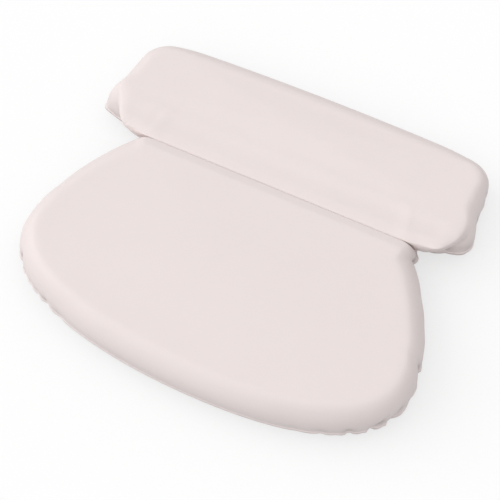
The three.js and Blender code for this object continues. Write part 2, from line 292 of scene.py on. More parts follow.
@dataclass(frozen=True)
class Panel:
    """A padded panel: its hem in plan with the fold line at y = 0, its section and its gathers."""

    body: Body
    skin_node: str
    free_points: int
    right_pleats: tuple[Pleat, ...]
    left_pleats: tuple[Pleat, ...]
    to_fold: int
    valley_run: float
    valley_power: float
    valley_fade: float
    valley_ease: float
    valley_past: float
    crown: float = 0.0025
    shoulder_run: float = 0.0135
    shoulder_power: float = 2.4
    lean_in: float = 0.0090
    upright: float = 0.0065
    upright_fade: float = 0.030
    bulge: float = 0.0007
    bulge_low: float = 0.75
    full_side: tuple[float, float] = (0.6, -0.8)
    full_least: float = 0.3
    hem_width: float = 0.0008
    skin: float = 0.001
    pleat_reach: float = 0.028
    pit_height: float = 0.006
    pit_spread: float = 0.005
    pit_width: float = 0.0025
    pit_share: float = 0.5
    pleat_power: float = 1.5
    ease_power: float = 1.5
    deep: float = 0.004
    soft_places: tuple[float, ...] = ()
    soft_reach: float = 0.016
    soft_slope: float = 0.0022
    fine_reach: float = 0.016
    fine_share: float = 2.4
    round_radius: float = 0.040

    def free_edge(self, side: Side) -> np.ndarray:
        """Half of the free hem, laid to the right, from the middle of the free end to the valley."""
        raise NotImplementedError

    @cached_property
    def foot(self) -> float:
        """Height of the hem's underside."""
        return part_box(self.skin_node)[0].z

    @cached_property
    def top(self) -> float:
        """Height of the crown."""
        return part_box(self.skin_node)[1].z

    @property
    def hem_top(self) -> float:
        """Height of the hem's upper face."""
        return self.foot + self.skin

    def pleats(self, side: Side) -> tuple[Pleat, ...]:
        """The gathers on one side of the panel."""
        return self.right_pleats if side is Side.RIGHT else self.left_pleats

    def _half_hem(self, side: Side) -> tuple[np.ndarray, np.ndarray]:
        """Points along half of the free hem, closest at the gathers and round corners.

        Args:
            side: which half.

        Returns:
            The points of the right half's plan, and their places along the hem.
        """
        edge = self.free_edge(side)
        steps = np.linalg.norm(np.diff(edge, axis=0), axis=1)
        edge = edge[np.concatenate([[True], steps > SAME_PLACE])]
        place = lengths_along(edge)
        heading = np.unwrap(np.arctan2(np.gradient(edge[:, 1], place), np.gradient(edge[:, 0], place)))
        weight = np.minimum(1.0, np.abs(np.gradient(heading, place)) * self.round_radius)
        for pleat in self.pleats(side):
            weight = np.maximum(weight, falloff(place - pleat.place, self.fine_reach))
        density = 1.0 + self.fine_share * weight
        gained = np.concatenate([[0.0], np.cumsum(np.diff(place) * (density[1:] + density[:-1]) / 2.0)])
        wanted = np.linspace(0.0, gained[-1], self.free_points)
        points = np.column_stack([np.interp(wanted, gained, column) for column in edge.T])
        return points, np.interp(wanted, gained, place)

    @cached_property
    def hem(self) -> Hem:
        """The whole hem.

        Returns:
            The right free half, the valley from right to left, and the left free half.
        """
        right, right_place = self._half_hem(Side.RIGHT)
        left, left_place = self._half_hem(Side.LEFT)
        left = (left * (-1.0, 1.0))[:0:-1]
        across = np.linspace(right[-1, 0], left[0, 0], HINGE.columns + 2)[1:-1]
        valley = np.column_stack([across, np.full(HINGE.columns, right[-1, 1])])
        past_end = np.minimum(right[-1, 0] - across, across - left[0, 0])
        points = np.vstack([right, valley, left])
        tangent = np.roll(points, -1, axis=0) - np.roll(points, 1, axis=0)
        normal = np.column_stack([tangent[:, 1], -tangent[:, 0]]) * self.to_fold
        return Hem(
            points=points,
            place=np.concatenate([right_place, right_place[-1] + past_end, left_place[:0:-1]]),
            side=np.concatenate([np.ones(len(right)), np.where(across > 0.0, 1, -1), -np.ones(len(left))]),
            past_end=np.concatenate(
                [right_place - right_place[-1], past_end, (left_place - left_place[-1])[:0:-1]]
            ),
            outward=normal / np.linalg.norm(normal, axis=1)[:, None],
        )

    @property
    def valley_columns(self) -> slice:
        """The hem points that border the valley, with the two that end it."""
        return slice(self.free_points - 1, self.free_points + HINGE.columns + 1)

    @cached_property
    def middle(self) -> np.ndarray:
        """Middle of the hem's box in plan."""
        return (self.hem.points.min(axis=0) + self.hem.points.max(axis=0)) / 2.0

    @cached_property
    def half(self) -> np.ndarray:
        """Half sizes of the hem's box in plan."""
        return (self.hem.points.max(axis=0) - self.hem.points.min(axis=0)) / 2.0

    @staticmethod
    def _nearest(
        place: np.ndarray, pleats: tuple[Pleat, ...], height: float
    ) -> tuple[np.ndarray, np.ndarray, np.ndarray, np.ndarray]:
        """The gather nearest to each place on one side.

        Args:
            place: places along the hem.
            pleats: the side's gathers, in order.
            height: height over the hem.

        Returns:
            Where the gathers' lines are at that height, the number of the nearest one to each place, the
            distance to it, and how far up that line the height is, from 0 to 1.
        """
        lines = np.array([pleat.place + pleat.lean * height for pleat in pleats])
        away = np.abs(place[:, None] - lines[None, :])
        nearest = away.argmin(axis=1)
        climb = np.minimum(1.0, height / np.array([pleat.rise for pleat in pleats]))[nearest]
        return lines, nearest, away[np.arange(len(place)), nearest], climb

    def _drawn(self, place: np.ndarray, pleats: tuple[Pleat, ...], height: float) -> np.ndarray:
        """How far the gathers of one side draw the cover in.

        Args:
            place: places along the hem.
            pleats: the side's gathers, in order.
            height: height over the hem.

        Returns:
            The distance drawn in at each place.
        """
        lines, nearest, gap, climb = self._nearest(place, pleats, height)
        depths = np.array([pleat.depth for pleat in pleats])
        order = np.concatenate([[lines[0] - self.pleat_reach], lines, [lines[-1] + self.pleat_reach]])
        spans = np.diff(order)
        span = np.where(place < lines[nearest], spans[nearest], spans[nearest + 1])
        turn = np.minimum(gap / np.minimum(span, self.pleat_reach), 0.5) * math.pi
        valley = (1.0 - climb) * (1.0 - np.sin(turn)) + climb * (1.0 + np.cos(2.0 * turn)) / 2.0
        lift = falloff(height - self.pit_height, self.pit_spread)
        pit = self.pit_share * lift * falloff(gap, self.pit_width)
        shares = np.array([pleat.hem_share for pleat in pleats])[nearest]
        kept = shares + (1.0 - shares) * min(1.0, height / self.pit_height)
        return depths[nearest] * (kept * valley * (1.0 - climb) ** self.pleat_power + pit)

    def gathers(self, height: float) -> np.ndarray:
        """How far the gathers draw in each point round the hem, at a height over it.

        Args:
            height: height over the hem.

        Returns:
            The distance drawn in at each point.
        """
        drawn = np.zeros(len(self.hem.place))
        for side in Side:
            on_side = self.hem.side == side.value
            drawn[on_side] = self._drawn(self.hem.place[on_side], self.pleats(side), height)
        return drawn

    def nearness(self, height: float, half: float) -> np.ndarray:
        """How near each point round the hem is to a deep gather, at a height over it.

        Args:
            height: height over the hem.
            half: distance at which the nearness has mostly gone.

        Returns:
            The nearness, from 0 to 1.
        """
        near = np.zeros(len(self.hem.place))
        for side in Side:
            on_side = self.hem.side == side.value
            pleats = self.pleats(side)
            _, nearest, gap, climb = self._nearest(self.hem.place[on_side], pleats, height)
            depth = np.array([pleat.depth for pleat in pleats])[nearest]
            near[on_side] = np.minimum(1.0, depth / self.deep) * (1.0 - climb) * falloff(gap, half)
        return near

    @cached_property
    def softness(self) -> np.ndarray:
        """How far each point round the hem belongs to a soft corner, from 0 to 1."""
        away = [np.abs(self.hem.place - place) for place in self.soft_places]
        return sum((falloff(gap, self.soft_reach) for gap in away), np.zeros(len(self.hem.place)))

    @cached_property
    def fullness(self) -> np.ndarray:
        """How far the wall swells out over its tucked foot.

        Returns:
            The share at each point round the hem, from 0 to 1.
        """
        facing = np.clip(self.hem.outward @ np.asarray(self.full_side), 0.0, 1.0)
        full = self.full_least + (1.0 - self.full_least) * facing
        free = np.clip(-(self.hem.past_end + self.valley_fade) / self.upright_fade, 0.0, 1.0)
        return full * smoothstep(free)

    def valley_gap(self, z: float) -> float:
        """Distance of the cover from the crease, on the valley's side.

        Args:
            z: height of the point.

        Returns:
            The distance in plan; below the crease the walls touch.
        """
        edge = self.top - self.crown
        climb = np.clip((z - HINGE.crease_height) / (edge - HINGE.crease_height), 0.0, 1.0)
        curve = (1.0 - climb**self.valley_power) ** (1.0 / self.valley_power)
        return HINGE.touch_half + self.valley_run * (1.0 - curve)

    def ring(self, inset: float, z: float, valley_gap: float) -> np.ndarray:
        """Points round the panel, inside its hem, in the frame.

        Args:
            inset: how far inside the hem.
            z: height of the ring.
            valley_gap: how far from the crease, on the valley's side.

        Returns:
            The points, one a row.
        """
        height = max(0.0, z - self.hem_top)
        climb = height / (self.top - self.crown - self.hem_top)
        drawn = inset + self.gathers(height) + self.softness * self.soft_slope * climb
        swell = self.bulge * math.sin(math.pi * min(1.0, climb) ** self.bulge_low)
        drawn -= self.fullness * (swell + self.upright * climb)
        plan = self.middle + (self.hem.points - self.middle) * (1.0 - drawn[:, None] / self.half)
        crease = HINGE.lean * np.clip(z, FOLD_LINE.z, HINGE.crease_height) - HINGE.lean * FOLD_LINE.z
        shift = crease - self.to_fold * valley_gap + self.to_fold * (HINGE.gap / 2.0 + inset)
        reach = self.valley_fade * (1.0 + self.valley_ease * climb**self.ease_power)
        past_end = self.hem.past_end + self.valley_past * min(1.0, climb)
        share = smootherstep(across_band(past_end, reach))
        plan[:, 1] += share * shift + FOLD_LINE.y
        return np.column_stack([plan, np.full(len(plan), z)])

    def crown_height(self, share: float) -> float:
        """Height of the crown, at a share of the way from its middle to its edge, where it is level again."""
        return self.top - self.crown * (1.0 - (1.0 - share**2) ** 2)

    def section(self, cover: float, count: int) -> np.ndarray:
        """The wall and shoulder of the panel, evenly divided.

        Args:
            cover: thickness of what lies over the section.
            count: how many points to return.

        Returns:
            Rows of inset and height, from the wall's foot to the edge of the crown.
        """
        angle = np.linspace(0.0, math.pi / 2.0, CURVE_STEPS)
        outward = np.cos(angle).clip(0.0) ** (2.0 / self.shoulder_power)
        upward = np.sin(angle) ** (2.0 / self.shoulder_power)
        lean = self.lean_in * upward
        inset = self.hem_width + self.shoulder_run - (self.shoulder_run - cover) * outward + lean
        z = self.foot + (self.top - self.foot - self.crown - cover) * upward
        return respaced(np.column_stack([inset, z])[z >= self.hem_top], count)


@dataclass(frozen=True)
class LowerPanel(Panel):
    """The wide panel with a round end."""

    width: float = 0.3805
    width_lean: float = -0.00095
    length: float = 0.205
    widest: float = 0.124
    widest_lean: float = -0.002
    side_turn: float = 0.045
    end_fullness: float = 0.63
    fullness_lean: float = 0.019
    end_lean: float = 0.005
    right_pinch: tuple[float, float] = (0.0032, 0.010)
    left_pinch: tuple[float, float] = (0.0, 0.005)
    right_lip: float = 0.002

    def free_edge(self, side: Side) -> np.ndarray:
        """Half of the free hem, laid to the right.

        Args:
            side: which half.

        Returns:
            Points in plan, from the middle of the round end to the valley.
        """
        half = self.width / 2.0 + side.value * self.width_lean
        middle = side.value * self.end_lean
        edge = -HINGE.gap / 2.0
        end = edge - self.length
        widest = edge - self.widest - side.value * self.widest_lean
        share = self.end_fullness + side.value * self.fullness_lean
        fullness = share * (widest - end)
        turn = (half, widest + self.side_turn)
        handle = middle + share * (half - middle)
        at_right = side is Side.RIGHT
        corner = (HINGE.end(side) + self.right_lip * at_right, edge)
        pinch = self.right_pinch if at_right else self.left_pinch
        pinched = (corner[0] - pinch[0], corner[1] - pinch[1])
        return np.vstack(
            [
                bezier((middle, end), (handle, end), (half, widest - fullness), (half, widest)),
                bezier((half, widest), turn, pinched),
                bezier(pinched, corner, (corner[0] - HINGE.end_round, edge)),
            ]
        )


@dataclass(frozen=True)
class UpperPanel(Panel):
    """The long straight panel behind the fold."""

    front_width: float = 0.382
    back_width: float = 0.357
    front_lean: float = -0.0028
    back_lean: float = 0.0020
    length: float = 0.1062
    front_sweep: float = 0.015
    back_bow: float = 0.0048
    end_bow: float = 0.0026
    front_round: float = 0.008
    round_lean: float = 0.003
    back_round: float = 0.028

    def free_edge(self, side: Side) -> np.ndarray:
        """Half of the free hem, laid to the right.

        Args:
            side: which half.

        Returns:
            Points in plan, from the middle of the back to the valley.
        """
        edge = HINGE.gap / 2.0
        back = edge + self.length
        corner = (HINGE.end(side), edge)
        front_round = self.front_round + side.value * self.round_lean
        front_corner = (self.front_width / 2.0 + side.value * self.front_lean, edge + self.front_sweep)
        back_corner = (self.back_width / 2.0 + side.value * self.back_lean, back - self.back_bow)
        middle = (0.0, back)
        back_start = toward(back_corner, middle, self.back_round)
        back_end = toward(back_corner, front_corner, self.back_round)
        front_start = toward(front_corner, back_corner, front_round)
        front_end = toward(front_corner, corner, front_round)
        sweep_end = toward(corner, front_corner, HINGE.end_round)
        waist = (back_end + front_start) / 2.0 - (2.0 * self.end_bow, 0.0)
        return np.vstack(
            [
                bezier(middle, (back_start[0] / 2.0, back), back_start),
                bezier(back_start, back_corner, back_end),
                bezier(back_end, waist, front_start),
                bezier(front_start, front_corner, front_end),
                bezier(front_end, sweep_end),
                bezier(sweep_end, corner, (corner[0] - HINGE.end_round, edge)),
            ]
        )


class MeshDraft:
    """Points and faces of a mesh in the making, how far each point is held and slack, and how much shade is
    painted on it in a fold.
    """

    def __init__(self) -> None:
        """Starts an empty draft."""
        self.points: list[np.ndarray] = []
        self.held: list[np.ndarray] = []
        self.slack: list[np.ndarray] = []
        self.fold: list[np.ndarray] = []
        self.faces: list[tuple[int, ...]] = []
        self.count = 0

    def add(
        self,
        points: np.ndarray,
        held: np.ndarray | float = 1.0,
        slack: np.ndarray | float = 0.0,
        fold: np.ndarray | float = 0.0,
    ) -> np.ndarray:
        """Adds points.

        Args:
            points: the points, one a row.
            held: how firmly each point is held, from 0 to 1.
            slack: how much spare cloth there is at each point, from 0 to 1.
            fold: how much shade is painted on each point in a fold, from 0 to 1.

        Returns:
            Their numbers in the mesh.
        """
        self.points.append(np.asarray(points, float).reshape(-1, 3))
        start, self.count = self.count, self.count + len(self.points[-1])
        self.held.append(np.broadcast_to(held, self.count - start))
        self.slack.append(np.broadcast_to(slack, self.count - start))
        self.fold.append(np.broadcast_to(fold, self.count - start))
        return np.arange(start, self.count)

    def face(self, corners: Sequence[int], flip: bool = False) -> None:
        """Adds a face, turned over where asked."""
        self.faces.append(tuple(int(corner) for corner in (reversed(corners) if flip else corners)))

    def strip(self, first: np.ndarray, second: np.ndarray, closed: bool, flip: bool = False) -> None:
        """Joins two rows of points by faces; the second may have half as many points as the first.

        Args:
            first: numbers of the first row.
            second: numbers of the second row.
            closed: whether the rows are rings.
            flip: whether the faces are turned over.
        """
        ratio = len(first) // len(second) if closed else 1
        for j in range(len(second) if closed else len(second) - 1):
            lead = [first[(ratio * j + k) % len(first)] for k in range(ratio + 1)]
            self.face([*lead, second[(j + 1) % len(second)], second[j]], flip)

    def fan(self, ring: np.ndarray, pole: int, flip: bool = False) -> None:
        """Closes a ring by triangles to a pole.

        Args:
            ring: numbers of the ring's points.
            pole: number of the pole.
            flip: whether the faces are turned over.
        """
        for j, corner in enumerate(ring):
            self.face([corner, ring[(j + 1) % len(ring)], pole], flip)

    def object(self, name: str) -> bpy.types.Object:
        """Makes the mesh and an object for it in the scene.

        Args:
            name: name of the piece.

        Returns:
            The object, at the origin.
        """
        mesh = bpy.data.meshes.new(name)
        mesh.from_pydata(np.vstack(self.points).tolist(), [], self.faces)
        mesh.validate()
        # store the shade painted into the gathers on the mesh's points
        depth = mesh.attributes.new(PAINTED_FOLD_SHADE, "FLOAT", "POINT")
        depth.data.foreach_set("value", np.concatenate(self.fold))
        return placed(name, mesh)


def close_panel(
    draft: MeshDraft,
    panel: Panel,
    rings: list[np.ndarray],
    edge: np.ndarray,
    crown_rings: Sequence[tuple[float, int]],
    cover: float,
) -> None:
    """Joins the rings of a panel from its foot up, and closes it over its crown.

    Args:
        draft: the mesh in the making.
        panel: the panel.
        rings: numbers of the points of each ring.
        edge: points of the last ring, the edge of the crown.
        crown_rings: for each ring on the crown, its scale and which share of the edge's points it has.
        cover: thickness of what lies over the surface.
    """
    flip = panel.body is Body.UPPER
    pole = np.array([*panel.middle + (0.0, FOLD_LINE.y), panel.top - cover])
    numbers = list(rings)
    for scale, share in crown_rings:
        ring = pole + (edge[::share] - pole) * scale
        ring[:, 2] = panel.crown_height(scale) - cover
        numbers.append(draft.add(ring))
    for outer, inner in zip(numbers, numbers[1:]):
        draft.strip(outer, inner, closed=True, flip=flip)
    draft.fan(numbers[-1], draft.add(pole)[0], flip)


def join_valley(
    draft: MeshDraft, lower: np.ndarray, upper: np.ndarray, groove: float, flip: bool
) -> np.ndarray:
    """Joins the two panels' edges across the valley.

    Args:
        draft: the mesh in the making.
        lower: numbers of the lower panel's points along the valley.
        upper: numbers of the upper panel's points along the valley.
        groove: how far the fold line lies under them.
        flip: whether the faces are turned over.

    Returns:
        Numbers of the points along the fold line.
    """
    points = np.vstack(draft.points)
    floor = (points[lower] + points[upper]) / 2.0
    floor[:, 1] = FOLD_LINE.y
    floor[:, 2] -= groove
    middle = draft.add(floor)
    draft.strip(lower, middle, closed=False, flip=flip)
    draft.strip(middle, upper, closed=False, flip=flip)
    return middle


def freeze(piece: bpy.types.Object) -> bpy.types.Object:
    """Turns a piece and its modifiers into a plain mesh.

    Args:
        piece: the object to freeze.

    Returns:
        The same object, with no modifiers.
    """
    graph = bpy.context.evaluated_depsgraph_get()
    mesh = bpy.data.meshes.new_from_object(piece.evaluated_get(graph))
    mesh.name = piece.name
    piece.modifiers.clear()
    piece.data = mesh
    return piece


def thicken(piece: bpy.types.Object, thickness: float) -> bpy.types.Object:
    """Gives a piece a wall behind its faces, and freezes it.

    Args:
        piece: the object, as a surface.
        thickness: thickness of the wall.

    Returns:
        The same object, with no modifiers.
    """
    wall = piece.modifiers.new("wall", "SOLIDIFY")
    wall.thickness = thickness
    wall.offset = -1.0
    return freeze(piece)


def smooth(piece: bpy.types.Object, sharp_angle: float = math.pi) -> None:
    """Shades a piece smoothly, with edges sharper than an angle kept crisp."""
    piece.data.shade_smooth()
    piece.data.set_sharp_from_angle(angle=sharp_angle)


def dress(piece: bpy.types.Object, material: bpy.types.Material) -> None:
    """Gives a piece its one material.

    Args:
        piece: the piece.
        material: its finish.
    """
    piece.data.materials.clear()
    piece.data.materials.append(material)


def across_fold(lean: float) -> Vector:
    """Way from the lower panel to the upper one, square to a plane that leans as it climbs from the fold."""
    return Vector((0.0, 1.0, -lean)).normalized()


def bend_with_fold(piece: bpy.types.Object) -> None:
    """Bakes a piece's placement into its mesh.

    Args:
        piece: the piece, with its mesh final.
    """
    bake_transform(piece)


def keep_apart(piece: bpy.types.Object) -> None:
    """Moves the points that have crossed the leaning plane of the fold back to their own panel's side.

    Args:
        piece: the piece, with no modifiers and each point marked with its panel's side.
    """
    points = points_of(piece.data)
    marks = piece.data.attributes[PANEL_SIDE]
    sides = np.round([mark.value for mark in marks.data])
    across = np.array(across_fold(HINGE.lean))
    past = HINGE.touch_half - sides * ((points - np.array(FOLD_LINE)) @ across)
    back = np.maximum(0.0, past) * sides
    piece.data.attributes.remove(marks)
    move_points(piece, points + back[:, None] * across)


class NodeBoard:
    """Adds and links the nodes of one tree."""

    COLOUR_MIX_INPUTS = (0, 6, 7)
    COLOUR_MIX_OUTPUT = 2

    def __init__(self, tree: bpy.types.NodeTree) -> None:
        """Takes the tree and empties it."""
        self.tree = tree
        tree.nodes.clear()

    def add(self, kind: str, values: dict[str, object] | None = None, **settings: object) -> bpy.types.Node:
        """Adds a node.

        Args:
            kind: the node's type.
            values: sockets' values by name.
            settings: the node's own properties.

        Returns:
            The node.
        """
        node = self.tree.nodes.new(kind)
        for name, value in settings.items():
            setattr(node, name, value)
        for name, value in (values or {}).items():
            node.inputs[name].default_value = value
        return node

    def link(self, source: bpy.types.NodeSocket, target: bpy.types.NodeSocket) -> None:
        """Links an output to an input."""
        self.tree.links.new(source, target)

    def give(self, socket: bpy.types.NodeSocket, value: object) -> None:
        """Links another node's output to a socket, or sets the socket to a plain value.

        Args:
            socket: the socket to fill.
            value: an output, a number or a colour.
        """
        if isinstance(value, bpy.types.NodeSocket):
            self.link(value, socket)
        else:
            socket.default_value = value

    def mix(
        self,
        share: bpy.types.NodeSocket | float,
        first: bpy.types.NodeSocket,
        second: bpy.types.NodeSocket,
    ) -> bpy.types.NodeSocket:
        """Adds a mix of two shaders.

        Args:
            share: the second shader's share, as a socket or a number.
            first: the first shader.
            second: the second shader.

        Returns:
            The mixed shader.
        """
        node = self.add("ShaderNodeMixShader")
        for socket, value in zip(node.inputs, (share, first, second)):
            self.give(socket, value)
        return node.outputs[0]

    def mix_colours(
        self,
        share: bpy.types.NodeSocket,
        first: bpy.types.NodeSocket | tuple[float, ...],
        second: bpy.types.NodeSocket | tuple[float, ...],
    ) -> bpy.types.NodeSocket:
        """Adds a mix of two colours.

        Args:
            share: the second colour's share.
            first: the first colour, as a socket or a value.
            second: the second colour, as a socket or a value.

        Returns:
            The mixed colour.
        """
        node = self.add("ShaderNodeMix", data_type="RGBA")
        for number, value in zip(self.COLOUR_MIX_INPUTS, (share, first, second)):
            self.give(node.inputs[number], value)
        return node.outputs[self.COLOUR_MIX_OUTPUT]

    def math(self, operation: str, *terms: bpy.types.NodeSocket | float) -> bpy.types.NodeSocket:
        """Adds a math node.

        Args:
            operation: what it does.
            terms: sockets or numbers.

        Returns:
            Its output.
        """
        node = self.add("ShaderNodeMath", operation=operation)
        for socket, term in zip(node.inputs, terms):
            self.give(socket, term)
        return node.outputs[0]


@dataclass(frozen=True)
class Finish:
    """A finish of the pillow: its colour, how it mottles, how much shade is painted into its gathers, and how
    fine and deep its surface is.
    """

    name: str
    colour: tuple[float, float, float]
    mottle: float
    mottle_size: float
    roughness: float
    roughness_spread: float
    grain_size: float
    grain_depth: float
    specular: float = 0.5
    ior: float = 1.5
    transmission: float = 0.0
    fold_shade: float = 0.0
    mottle_detail: float = 4.0
    grain_detail: float = 3.0

    def shade(self, factor: float) -> tuple[float, ...]:
        """The finish's colour made lighter or darker by a factor, and opaque."""
        return (*(min(1.0, part * factor) for part in self.colour), 1.0)

    def grain(self, board: NodeBoard, place: bpy.types.NodeSocket) -> bpy.types.NodeSocket:
        """The height of the surface's grain.

        Args:
            board: the material's nodes.
            place: the texture coordinates.

        Returns:
            The height, from 0 to 1.
        """
        values = {"Scale": 1.0 / self.grain_size, "Detail": self.grain_detail}
        noise = board.add("ShaderNodeTexNoise", values)
        board.link(place, noise.inputs["Vector"])
        return noise.outputs[0]

    def material(self) -> bpy.types.Material:
        """Builds the material.

        Returns:
            The material, with its own nodes.
        """
        material = bpy.data.materials.new(self.name)
        material.use_nodes = True
        board = NodeBoard(material.node_tree)
        place = board.add("ShaderNodeTexCoord").outputs["Object"]
        shader = board.add(
            "ShaderNodeBsdfPrincipled",
            {"Specular IOR Level": self.specular, "IOR": self.ior, "Transmission Weight": self.transmission},
        )
        values = {"Scale": 1.0 / self.mottle_size, "Detail": self.mottle_detail}
        cloud = board.add("ShaderNodeTexNoise", values)
        board.link(place, cloud.inputs["Vector"])
        pale, dark = self.shade(1.0 + self.mottle), self.shade(1.0 - self.mottle)
        colour = board.mix_colours(cloud.outputs[0], dark, pale)
        # painted shade: the colour is darkened in the gathers by the share stored on the mesh
        if self.fold_shade:
            depth = board.add("ShaderNodeAttribute", attribute_name=PAINTED_FOLD_SHADE).outputs["Fac"]
            colour = board.mix_colours(depth, colour, self.shade(1.0 - self.fold_shade))
        board.link(colour, shader.inputs["Base Color"])
        height = self.grain(board, place)
        sheen = board.add(
            "ShaderNodeMapRange",
            {
                "To Min": self.roughness + self.roughness_spread,
                "To Max": self.roughness - self.roughness_spread,
            },
        )
        board.link(height, sheen.inputs["Value"])
        board.link(sheen.outputs[0], shader.inputs["Roughness"])
        bump = board.add("ShaderNodeBump", {"Strength": 1.0, "Distance": self.grain_depth})
        board.link(height, bump.inputs["Height"])
        board.link(bump.outputs[0], shader.inputs["Normal"])
        output = board.add("ShaderNodeOutputMaterial")
        board.link(shader.outputs[0], output.inputs["Surface"])
        return material


@dataclass(frozen=True)
class PebbledFinish(Finish):
    """A finish with a pebbled grain: rounded cells with creases between them."""

    crease: float = 0.35

    def grain(self, board: NodeBoard, place: bpy.types.NodeSocket) -> bpy.types.NodeSocket:
        """The height of the pebbles, flat-topped and creased between.

        Args:
            board: the material's nodes.
            place: the texture coordinates.

        Returns:
            The height, from 0 to 1.
        """
        cells = board.add(
            "ShaderNodeTexVoronoi", {"Scale": 1.0 / self.grain_size}, feature="DISTANCE_TO_EDGE"
        )
        board.link(place, cells.inputs["Vector"])
        rise = board.add("ShaderNodeMapRange", {"From Max": self.crease}, interpolation_type="SMOOTHSTEP")
        board.link(cells.outputs[0], rise.inputs["Value"])
        return rise.outputs[0]


COATED_FABRIC = PebbledFinish(
    name="coated_fabric",
    colour=(0.838, 0.752, 0.737),
    mottle=0.012,
    mottle_size=0.045,
    roughness=0.50,
    roughness_spread=0.06,
    grain_size=0.0009,
    grain_depth=0.00003,
    specular=0.35,
    # painted shade: the cover's colour is darkened by up to 60% in its deep gathers
    fold_shade=0.6,
)
BACKING_FABRIC = PebbledFinish(
    name="backing_fabric",
    colour=(0.80, 0.72, 0.705),
    mottle=0.02,
    mottle_size=0.030,
    roughness=0.62,
    roughness_spread=0.08,
    grain_size=0.0013,
    grain_depth=0.00006,
    specular=0.3,
)
OPEN_CELL_FOAM = PebbledFinish(
    name="open_cell_foam",
    colour=(0.86, 0.80, 0.66),
    mottle=0.04,
    mottle_size=0.012,
    roughness=0.92,
    roughness_spread=0.06,
    grain_size=0.0016,
    grain_depth=0.0004,
    specular=0.15,
    crease=0.5,
)
CLEAR_VINYL = Finish(
    name="clear_vinyl",
    colour=(0.86, 0.90, 0.90),
    mottle=0.02,
    mottle_size=0.010,
    roughness=0.16,
    roughness_spread=0.05,
    grain_size=0.0030,
    grain_depth=0.00005,
    ior=1.53,
    transmission=0.8,
)
SATIN_PLASTIC = Finish(
    name="satin_plastic",
    colour=(0.87, 0.86, 0.83),
    mottle=0.015,
    mottle_size=0.006,
    roughness=0.38,
    roughness_spread=0.06,
    grain_size=0.0006,
    grain_depth=0.00002,
)

LOWER = LowerPanel(
    body=Body.LOWER,
    skin_node="lower_front_skin",
    free_points=111,
    to_fold=1,
    valley_run=0.0100,
    valley_power=1.12,
    valley_fade=0.004,
    valley_ease=1.5,
    valley_past=0.005,
    right_pleats=(
        Pleat(0.107, 0.0004),
        Pleat(0.1285, 0.0013),
        Pleat(0.140, 0.0004),
        Pleat(0.152, 0.0026, -0.1),
        Pleat(0.1635, 0.0004, 0.9),
        Pleat(0.170, 0.0050, 0.9, 0.7, 0.030),
        Pleat(0.1815, 0.0004, 0.9),
        Pleat(0.188, 0.0062, 0.9, 0.7, 0.030),
        Pleat(0.2155, 0.0018, 0.1),
        Pleat(0.2385, 0.0092, 0.1, 0.6, 0.045),
        Pleat(0.252, 0.0008, 0.2),
        Pleat(0.278, 0.0008),
        Pleat(0.307, 0.0012),
        Pleat(0.334, 0.0003),
        Pleat(0.348, 0.0052, 0.0, 1.0, 0.045),
        Pleat(0.3565, 0.0002),
    ),
    left_pleats=(
        Pleat(0.126, 0.0010),
        Pleat(0.144, 0.0020, 0.1),
        Pleat(0.157, 0.0010),
        Pleat(0.168, 0.0008, -0.1),
        Pleat(0.179, 0.0012),
        Pleat(0.192, 0.0054, 0.1, 0.8, 0.035),
        Pleat(0.206, 0.0006),
        Pleat(0.240, 0.0012),
        Pleat(0.275, 0.0010),
    ),
)
UPPER = UpperPanel(
    body=Body.UPPER,
    skin_node="upper_front_skin",
    free_points=101,
    to_fold=-1,
    valley_run=0.0370,
    valley_power=1.3,
    valley_fade=0.007,
    valley_ease=2.2,
    valley_past=0.048,
    full_side=(1.0, 0.0),
    soft_places=(0.240,),
    right_pleats=(
        Pleat(0.172, 0.0008),
        Pleat(0.198, 0.0040, 0.1, 0.6, 0.040),
        Pleat(0.214, 0.0012),
        Pleat(0.230, 0.0028, -0.1, 0.6, 0.040),
        Pleat(0.257, 0.0010),
        Pleat(0.278, 0.0036, 0.3, 0.2),
        Pleat(0.2965, 0.0030, 0.0, 0.6),
    ),
    left_pleats=(
        Pleat(0.175, 0.0010),
        Pleat(0.200, 0.0012, 0.1),
        Pleat(0.226, 0.0012),
        Pleat(0.252, 0.0014),
        Pleat(0.288, 0.0030, -0.2, 0.2),
    ),
)


@dataclass(frozen=True)
class ClothSettling:
    """How the cover is let swell and pucker as cloth between the places that hold it."""

    frames: int = 20
    pressure: float = 2500.0
    spare: float = 0.12
    mass: float = 0.005
    tension: float = 15.0
    shear: float = 5.0
    bending: float = 0.02
    quality: int = 5
    furthest: float = 0.003

    def run(self, piece: bpy.types.Object, held: np.ndarray, slack: np.ndarray) -> None:
        """Settles a piece and keeps the shape that it takes.

        Args:
            piece: the piece, with no modifiers.
            held: how firmly each point is held.
            slack: how much spare cloth there is at each point.
        """
        for name, weights in (("held", held), ("slack", slack)):
            group = piece.vertex_groups.new(name=name)
            for i in np.flatnonzero(weights > 0.0):
                group.add([int(i)], float(weights[i]), "REPLACE")
        cloth = piece.modifiers.new("settle", "CLOTH")
        ways = cloth.settings
        ways.quality = self.quality
        ways.mass = self.mass
        ways.tension_stiffness = ways.compression_stiffness = self.tension
        ways.shear_stiffness = self.shear
        ways.bending_stiffness = self.bending
        ways.use_pressure = True
        ways.uniform_pressure_force = self.pressure
        ways.vertex_group_mass = "held"
        ways.vertex_group_shrink = "slack"
        ways.shrink_min = 0.0
        ways.shrink_max = -self.spare
        ways.effector_weights.gravity = 0.0
        cloth.collision_settings.use_collision = False
        cloth.point_cache.frame_start = 1
        cloth.point_cache.frame_end = self.frames
        for step in range(1, self.frames + 1):
            bpy.context.scene.frame_set(step)
        start = points_of(piece.data)
        settled = piece.evaluated_get(bpy.context.evaluated_depsgraph_get()).data
        moved = points_of(settled) - start
        reach = np.linalg.norm(moved, axis=1)
        LOG.info("%s settles by up to %.2f mm before its cap", piece.name, reach.max() * MILLIMETRES)
        moved *= np.minimum(1.0, self.furthest / np.maximum(reach, self.furthest))[:, None]
        piece.modifiers.clear()
        piece.vertex_groups.clear()
        bpy.context.scene.frame_set(1)
        move_points(piece, start + moved)


